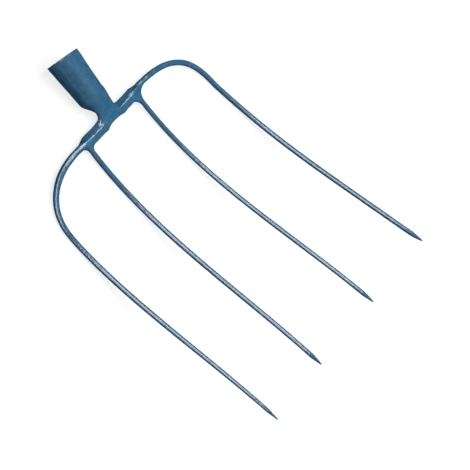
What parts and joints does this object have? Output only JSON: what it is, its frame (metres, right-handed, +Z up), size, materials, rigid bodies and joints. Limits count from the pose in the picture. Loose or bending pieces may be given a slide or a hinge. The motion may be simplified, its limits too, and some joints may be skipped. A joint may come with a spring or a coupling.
{
  "type": "stable fork head",
  "caption": "Manure fork head with long curved pointed tines on a forged crosshead, and a tapered socket for a wooden handle, lacquered blue.",
  "frame": {"origin": "centre of the bounding box, at the height of the floor that the head lies on", "axes": "+Y along the tines towards their points, +X to the right, +Z up"},
  "size_m": [0.2616, 0.3972, 0.0724],
  "materials": {
    "lacquer": "satin blue lacquer over forged steel"
  },
  "bodies": {
    "root": {"socket": "lacquer", "crosshead": "lacquer", "outer_tine_left": "lacquer", "inner_tine_left": "lacquer", "inner_tine_right": "lacquer", "outer_tine_right": "lacquer"}
  },
  "joints": []
}
